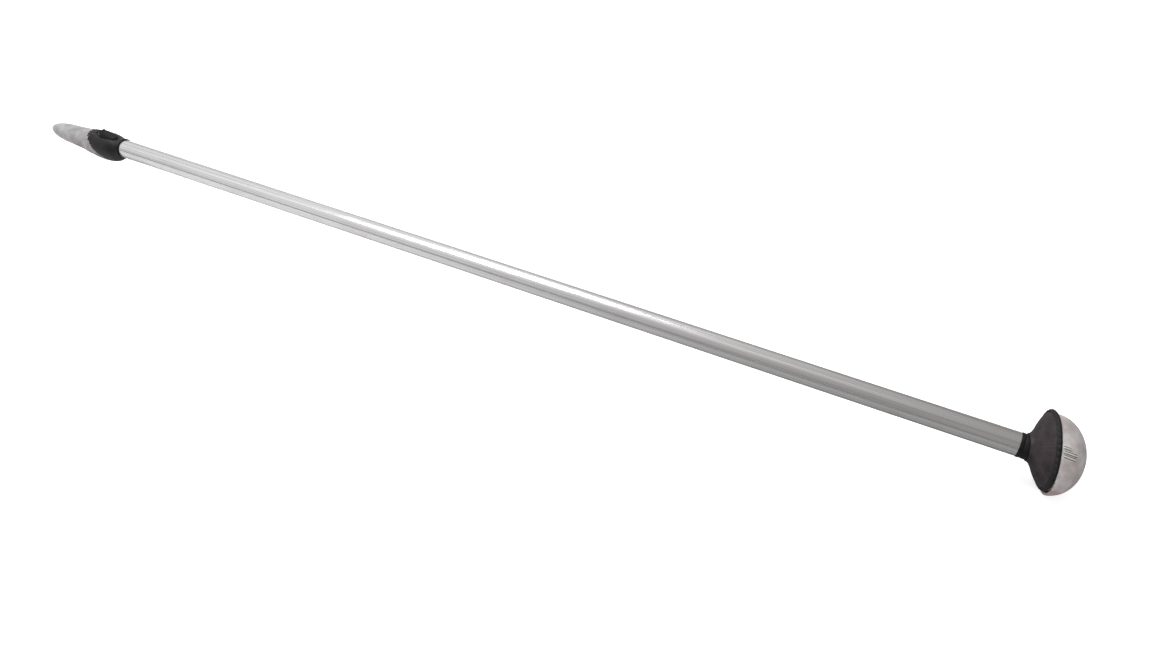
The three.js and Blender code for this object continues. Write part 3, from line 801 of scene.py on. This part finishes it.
screw_hole = turned("screw_hole", [(0, 0), (0, SCREW_HOLE_R), (30, SCREW_HOLE_R), (30, 0)], 32, screw_place)
carve(collar, screw_hole, "DIFFERENCE")
softened(collar, 0.32, 4)
fit(collar, "outer_section", "black_nylon", black_nylon, "collar_body")


# ---------------------------------------------------------------------------------------------
# The lock lever is a black nylon leaf, lens-shaped from above, low and crowned. It turns on a steel
# pin, and its round cam presses a nylon shoe on the inner tube.
# ---------------------------------------------------------------------------------------------
LEVER_UNDER = FLAT_Z + 0.3
LEVER_MIDDLE_Y = -1.4
CAM_R = 2.9
CAM_DROP = 0.4
CAM_HALF = 3.6
EDGE_BREAK = 0.12
LEAF_STATIONS = [
    (-37, 3.6, 19.2, 20.4), (-33.4, 3.6, 19.4, 21.8), (-33.1, 7.3, 17.6, 21.9), (-30, 7.8, 17.7, 22.2),
    (-26, 7.7, 17.6, 21.9), (-22, 7.2, 17.4, 20.9), (-18, 6.6, 17.2, 19.7), (-14, 5.8, 17.0, 18.7),
    (-10.5, 4.6, 16.9, 17.8), (-8.6, 3.0, 16.8, 17.2), (-8, 1.4, 16.7, 16.9),
]
lever_finish = moulded("lever_nylon", (0.006, 0.0055, 0.0057), (0.0115, 0.0105, 0.011), (0.04, 0.037, 0.037),
                       0.5, 2100.0, 0.00003, 0.15)
lever_finish.node_tree.nodes["Principled BSDF"].inputs["Specular IOR Level"].default_value = 0.15


def lever_leaf():
    """Rings of points from the pin to the thumb's end, each flat below and crowned above."""
    shape = bmesh.new()
    across, between = 24, 4
    rows = []
    for first, second in zip(LEAF_STATIONS, LEAF_STATIONS[1:]):
        for step in range(between):
            t = step / between
            x, half, edge, crown = [a + (b - a) * t for a, b in zip(first, second)]
            middle = LEVER_MIDDLE_Y if half > CAM_HALF else 0
            sides = [2 * step / across - 1 for step in range(across + 1)]
            row = [shape.verts.new((x, middle + half * v, edge + (crown - edge) * (1 - v * v))) for v in sides]
            row += [shape.verts.new((x, middle + half * v, LEVER_UNDER)) for v in reversed(sides)]
            rows.append(row)
    for row, following in zip(rows, rows[1:]):
        for step in range(len(row)):
            beside = (step + 1) % len(row)
            shape.faces.new((row[step], row[beside], following[beside], following[step]))
    shape.faces.new(rows[0])
    shape.faces.new(rows[-1])
    return finished("lever_leaf", shape, pole_place)


lever = lever_leaf()
thumb_dish = moulding_box("thumb_dish", (-31, -4.6, 21.2), (-21, 1.4, 24))
carve(lever, thumb_dish, "DIFFERENCE")
carve(lever, cross_rod("cam", lever_pin.x, lever_pin.z - CAM_DROP, -CAM_HALF, CAM_HALF, CAM_R), "UNION")
carve(lever, cross_rod("lever_hole", lever_pin.x, lever_pin.z, -PIN_HOLE_HALF, PIN_HOLE_HALF, PIN_HOLE_R),
      "DIFFERENCE")
softened(lever, 0.24, 3)
fit(lever, "lever", "black_nylon", lever_finish, "lock_lever")
pin("lever_hinge_pin", "lever_pin", 1, "outer_section")


def refinish(node_names, finish):
    """Gives CAD nodes that stay in sight a real finish, with a small bright edge on each corner."""
    for name in node_names:
        part = frame["nodes"][name]
        for slot in part.material_slots:
            slot.material = finish
        edge = part.modifiers.new("broken_edges", "BEVEL")
        edge.width = EDGE_BREAK * MM
        edge.segments = 2
        edge.limit_method = "ANGLE"
        edge.angle_limit = math.radians(35)


refinish(("brake_pad", "collar_liner"), white_finish)


# ---------------------------------------------------------------------------------------------
# A soft rubber ring in the collar's slanted front end wipes the inner tube, and a socket-headed
# grub screw under the collar bites on the outer tube.
# ---------------------------------------------------------------------------------------------
rubber = moulded("black_rubber", (0.012, 0.0112, 0.0115), (0.019, 0.0175, 0.018), (0.05, 0.047, 0.046),
                 0.62, 1200.0, 0.00006, 0.3)
rubber.node_tree.nodes["Principled BSDF"].inputs["Specular IOR Level"].default_value = 0.28
refinish(("wiper_ring",), rubber)
refinish(("collar_screw", "swivel_bolt", "nut_washer", "lock_nut", "cup_washer", "swivel_spring"), zinc)


# ---------------------------------------------------------------------------------------------
# The knob's ball is moulded in one with a dark collar and a plug that two blind rivets hold in the
# tube's end. The rivets sit under the tube and behind it.
# ---------------------------------------------------------------------------------------------
BALL_R = 13.2
NECK_COLLAR = 3.5
PLUG_LENGTH = 40.0
BOLT_HOLE_R = 3.3
ball_finish = moulded("ball_nylon", (0.0045, 0.004, 0.0042), (0.009, 0.008, 0.0083), (0.04, 0.037, 0.037),
                      0.42, 1900.0, 0.00003, 0.2)
ball_finish.node_tree.nodes["Principled BSDF"].inputs["Specular IOR Level"].default_value = 0.25
ball_x = (pivot.x - mouth.x) / MM
neck_x = tube_shown + 0.3
ball_start = math.acos((tube_shown + NECK_COLLAR - ball_x) / BALL_R)
ball_end = math.radians(40)
neck_outline = eased([
    (tube_shown - PLUG_LENGTH, 6.5), (tube_shown - PLUG_LENGTH, TUBE_BORE_R - 0.3), (neck_x, TUBE_BORE_R - 0.3),
    (neck_x, BALL_R), (tube_shown + NECK_COLLAR, BALL_R), (tube_shown + NECK_COLLAR + 0.2, 12.5),
], 0.35)
neck_outline += [
    Vector((ball_x + BALL_R * math.cos(ball_start + (ball_end - ball_start) * step / 28),
            BALL_R * math.sin(ball_start + (ball_end - ball_start) * step / 28)))
    for step in range(1, 29)
]
neck_outline += [Vector((ball_x + BALL_R * math.cos(ball_end), BOLT_HOLE_R)),
                 Vector((tube_shown - 2, BOLT_HOLE_R)), Vector((tube_shown - 2, 6.5))]
neck = turned("ball_neck_moulding", neck_outline, 120, pole_place, ring=True)
fit(neck, "outer_section", "black_nylon", ball_finish, "ball_neck")


def blind_rivet(name, node_name, outward):
    """A domed aluminium head with the broken stem's dimple, and its body through the wall."""
    low, high = in_pole(node_name)
    middle = (low + high) / 2
    reach = max(low.dot(outward), high.dot(outward))
    outline = [(-4.6, 0), (-4.6, 1.6), (-1.35, 1.6), (-1.3, 3.0), (-0.95, 2.95), (-0.5, 2.4), (-0.1, 1.3),
               (-0.05, 0.8), (-0.45, 0.6), (-0.5, 0)]
    turn = Vector((1, 0, 0)).rotation_difference(outward).to_matrix().to_4x4()
    head = Vector((middle.x, 0, 0)) + outward * reach
    place = pole_place @ Matrix.Translation(head) @ turn
    fit(turned(name, outline, 48, place), "outer_section", "steel", zinc, node_name)


blind_rivet("rivet_under_head", "neck_rivet_under", Vector((0, 0, -1)))
blind_rivet("rivet_behind_head", "neck_rivet_behind", Vector((0, 1, 0)))


# ---------------------------------------------------------------------------------------------
# The bell is a black nylon moulding that cups the ball and flares to a wide flange. Fine ribs
# radiate over the back of the flare. The whole knob rests cocked to one side on its ball.
# ---------------------------------------------------------------------------------------------
KNOB_TILT = math.radians(11.7)
FLANGE_FRONT = 20.6
FLANGE_R = 39.2
FLANGE_BORE_R = 37.0
CUP_R = 13.6
CUP_WALL = 2.0
BELL_SIDES = 288
FLARE_RIBS = 60
FLARE_RIB_HEIGHT = 0.3
tilt_axis = next(Vector(joint["axis"]) for joint in frame["joints"] if joint["name"] == "knob_tilt")
knob_place = Matrix.Translation(pivot) @ Matrix.Rotation(KNOB_TILT, 4, tilt_axis) @ Matrix.Scale(MM, 4)

bell_finish = moulded("bell_nylon", (0.018, 0.0138, 0.015), (0.044, 0.032, 0.0355), (0.1, 0.086, 0.09),
                      0.52, 1500.0, 0.00006, 0.35)
bell_finish.node_tree.nodes["Principled BSDF"].inputs["Specular IOR Level"].default_value = 0.3
bell_back = [
    (0.15, CUP_R + 0.05), (0.1, 14.5), (2, 15.2), (4, 17.0), (7, 21.7), (10, 27.6), (13, 33.1), (15, 36.4),
    (16.8, FLANGE_R), (FLANGE_FRONT, FLANGE_R),
]
bell_outline = eased(bell_back, 1.8, 6)
ribbed_rows = len(bell_outline) - 4
bell_outline += eased([
    (FLANGE_FRONT, FLANGE_R - 0.01), (FLANGE_FRONT, FLANGE_BORE_R), (18, FLANGE_BORE_R), (15.5, 33.8),
    (13, 29.6), (10, 24), (7, 17.4),
], 0.4)
for step in range(13):
    angle = math.radians(64 - 36 * step / 12)
    bell_outline.append(Vector(((CUP_R + CUP_WALL) * math.cos(angle), (CUP_R + CUP_WALL) * math.sin(angle))))
for step in range(21):
    angle = math.radians(28 + 58 * step / 20)
    bell_outline.append(Vector((CUP_R * math.cos(angle), CUP_R * math.sin(angle))))


def bell_warp(spot, angle, index):
    radius = math.hypot(spot.y, spot.z)
    if index >= ribbed_rows or radius < 25 or radius > 38:
        return spot
    fade = min((radius - 25) / 3, (38 - radius) / 1.5, 1)
    rib = max(0.0, math.cos(FLARE_RIBS * angle)) ** 2
    return spot + Vector((-0.8, 0.6 * spot.y / radius, 0.6 * spot.z / radius)) * FLARE_RIB_HEIGHT * rib * fade


bell = turned("bell_moulding", bell_outline, BELL_SIDES, knob_place, ring=True, warp=bell_warp)
fit(bell, "knob", "black_nylon", bell_finish, "bell")


# ---------------------------------------------------------------------------------------------
# A scalloped rubber ring is pressed over the bell's flange, so that the knob can be leant on
# anything. A thin rubber gasket seals the cap to it.
# ---------------------------------------------------------------------------------------------
RIM_R = 42.2
SCALLOPS = 40
SCALLOP_DEPTH = 0.9
rim_outline = eased([
    (16.6, FLANGE_R + 0.3), (16.8, FLANGE_R + 0.8), (18.1, 41.7), (19.3, RIM_R), (FLANGE_FRONT - 0.2, RIM_R),
    (FLANGE_FRONT, 41.7), (FLANGE_FRONT, FLANGE_R + 0.3),
], 0.7, 4, closed=True)


def rim_warp(spot, angle, index):
    radius = math.hypot(spot.y, spot.z)
    outer = min(max((radius - FLANGE_R - 0.6) / 1.6, 0), 1)
    keep = (radius - SCALLOP_DEPTH * outer * (0.5 - 0.5 * math.cos(SCALLOPS * angle)) ** 1.4) / radius
    return Vector((spot.x, spot.y * keep, spot.z * keep))


rim = turned("rim_scallops", rim_outline, SCALLOPS * 10, knob_place, ring=True, warp=rim_warp)
fit(rim, "knob", "black_rubber", rubber, "rim_ring")

CAP_BASE = 22.0
gasket_outline = eased([
    (FLANGE_FRONT + 0.3, FLANGE_BORE_R + 0.3), (FLANGE_FRONT + 0.3, RIM_R - 1.2),
    (CAP_BASE - 0.3, RIM_R - 1.2), (CAP_BASE - 0.3, FLANGE_BORE_R + 0.3),
], 0.3, closed=True)
gasket = turned("gasket_ring", gasket_outline, 160, knob_place, ring=True)
fit(gasket, "knob", "black_rubber", rubber, "cap_gasket")


# ---------------------------------------------------------------------------------------------
# The cap is a warm grey moulded dome that snaps into the bell. It sits a little off the bell's
# axis, and three short raised ribs on its side mark where the thumb goes. The ribs are painted
# lighter than the cap as a highlight, and dark painted shadow lines outline them.
# ---------------------------------------------------------------------------------------------
CAP_R = 42.0
CAP_HEIGHT = 32.2
CAP_OFFSET = 3.8
CAP_WALL = 2.6
cap_centre = Vector((CAP_BASE, 0, 0)) + OFF_AXIS * CAP_OFFSET
cap_place = knob_place @ Matrix.Translation(cap_centre)


def soiled_and_shaded_cap():
    """Warm grey nylon, cloudy with brownish handling smears, and darker and browner towards the bottom by painted
    shade.
    """
    made = moulded("grey_cap", (0.54, 0.512, 0.512), (0.68, 0.648, 0.648), (0.72, 0.69, 0.685),
                   0.46, 1300.0, 0.00005, 0.35)
    tree = made.node_tree
    shader = tree.nodes["Principled BSDF"]
    clean = shader.inputs["Base Color"].links[0].from_socket
    place = node(tree, "ShaderNodeTexCoord")
    height = node(tree, "ShaderNodeSeparateXYZ")
    cloud = noise(tree, 48.0, 5.0, 0.7)
    tree.links.new(place.outputs["Object"], height.inputs["Vector"])
    tree.links.new(place.outputs["Object"], cloud.inputs["Vector"])
    # Painted shade: the cap is darkened by height towards the bottom, up to 0.8 of the brownish multiply colour.
    low = spread(tree, height.outputs["Z"], pivot.z + 0.014, pivot.z - 0.026, 0.0, 0.8)
    smear = spread(tree, cloud.outputs["Fac"], 0.4, 0.66, 0.0, 0.6)
    soil_and_painted_shade = add_numbers(tree, add_numbers(tree, low, smear), 1.0, "MINIMUM")
    soiled = node(tree, "ShaderNodeMix", data_type="RGBA", blend_type="MULTIPLY")
    soiled.inputs["B"].default_value = (0.56, 0.475, 0.46, 1)
    tree.links.new(soil_and_painted_shade, soiled.inputs["Factor"])
    tree.links.new(clean, soiled.inputs["A"])
    tree.links.new(soiled.outputs["Result"], shader.inputs["Base Color"])
    return made


cap_finish = soiled_and_shaded_cap()


def cap_outline():
    base = CAP_BASE - cap_centre.x
    outside = []
    for step in range(41):
        angle = math.pi / 2 * step / 40
        outside.append(Vector((CAP_HEIGHT * math.cos(angle), CAP_R * math.sin(angle))))
    foot = eased([(0, CAP_R), (base, CAP_R - 0.05), (base, CAP_R - CAP_WALL), (0, CAP_R - CAP_WALL)], 0.4)
    inside = [Vector(((CAP_HEIGHT - CAP_WALL) * math.cos(a), (CAP_R - CAP_WALL) * math.sin(a)))
              for a in (math.pi / 2 * (1 - step / 24) for step in range(1, 25))]
    inside[-1].y = 0
    return outside + foot[1:] + inside


cap = turned("dome_cap_moulding", cap_outline(), 192, cap_place)
fit(cap, "knob", "grey_cap", cap_finish, "dome_cap")

seat_outline = eased([
    (FLANGE_FRONT - 2.2, 34.2), (FLANGE_FRONT - 2.2, 36.6), (CAP_BASE + 0.05, 36.6), (CAP_BASE + 0.05, 41.0),
    (CAP_BASE + 2.5, 40.2), (CAP_BASE + 2.5, 34.2),
], 0.3, closed=True)


def seat_warp(spot, angle, index):
    """Keeps the seat's outer edge inside the cap, which is off its axis."""
    radius = math.hypot(spot.y, spot.z)
    lean = (spot.y * OFF_AXIS.y + spot.z * OFF_AXIS.z) / radius * CAP_OFFSET
    room = CAP_R - CAP_WALL + 0.6 + lean
    keep = min(radius, room) / radius if radius > 36.8 else 1
    return Vector((spot.x, spot.y * keep, spot.z * keep))


seat = turned("cap_seat_ring", seat_outline, 192, knob_place, ring=True, warp=seat_warp)
fit(seat, "knob", "grey_cap", cap_finish)


def thumb_bar(shape, ends, half_width, rise, sink):
    """A bar with round ends that follows the dome between two (turn, polar) places in degrees."""
    stations, around = 28, 12
    rows = []
    for station in range(stations + 1):
        t = station / stations
        turn, polar = [math.radians(a + (b - a) * t) for a, b in zip(*ends)]
        end = math.sqrt(max(0.0, 1 - (2 * t - 1) ** 10))
        side = Vector((0, -math.sin(turn), math.cos(turn)))
        spoke = Vector((0, math.cos(turn), math.sin(turn)))
        foot = Vector((CAP_HEIGHT * math.cos(polar), 0, 0)) + spoke * CAP_R * math.sin(polar)
        out = (Vector((math.cos(polar) / CAP_HEIGHT, 0, 0)) + spoke * math.sin(polar) / CAP_R).normalized()
        row = []
        for step in range(around):
            angle = 2 * math.pi * step / around
            lift = rise * math.sin(angle) * end - sink
            row.append(shape.verts.new(foot + side * half_width * math.cos(angle) * max(end, 0.05) + out * lift))
        rows.append(row)
    for row, following in zip(rows, rows[1:]):
        for step in range(around):
            beside = (step + 1) % around
            shape.faces.new((row[step], row[beside], following[beside], following[step]))
    shape.faces.new(rows[0])
    shape.faces.new(rows[-1])


THUMB_RIBS = (((119.3, 88.5), (121.0, 74.0)), ((125.2, 88.5), (128.8, 60.5)), ((130.2, 88.5), (134.6, 64.3)))
rib_shape = bmesh.new()
trough_shape = bmesh.new()
for ends in THUMB_RIBS:
    thumb_bar(rib_shape, ends, 0.85, 1.0, 0.1)
    # A wider, lower bar round each rib carries the dark painted shadow lines.
    thumb_bar(trough_shape, ends, 1.7, 0.3, 0.14)
ribs = finished("cap_thumb_ribs", rib_shape, cap_place)
# The ribs are the cap's grey nylon in a lighter copy: a painted highlight.
rib_painted_highlight_finish = moulded("grey_ribs_painted_highlight", (0.62, 0.6, 0.57), (0.68, 0.66, 0.63), (0.74, 0.72, 0.69), 0.4, 1300.0, 0.00003)
fit(ribs, "knob", "grey_cap", rib_painted_highlight_finish)
rib_shadow_bars = finished("cap_rib_shadow_lines", trough_shape, cap_place)
# Dark painted shadow lines round the ribs, standing in for the shade at their feet.
painted_shadow_finish = moulded("painted_rib_shadows", (0.05, 0.045, 0.043), (0.085, 0.078, 0.074), (0.22, 0.21, 0.2), 0.6,
                        1300.0, 0.00003)
fit(rib_shadow_bars, "knob", "grey_cap", painted_shadow_finish)
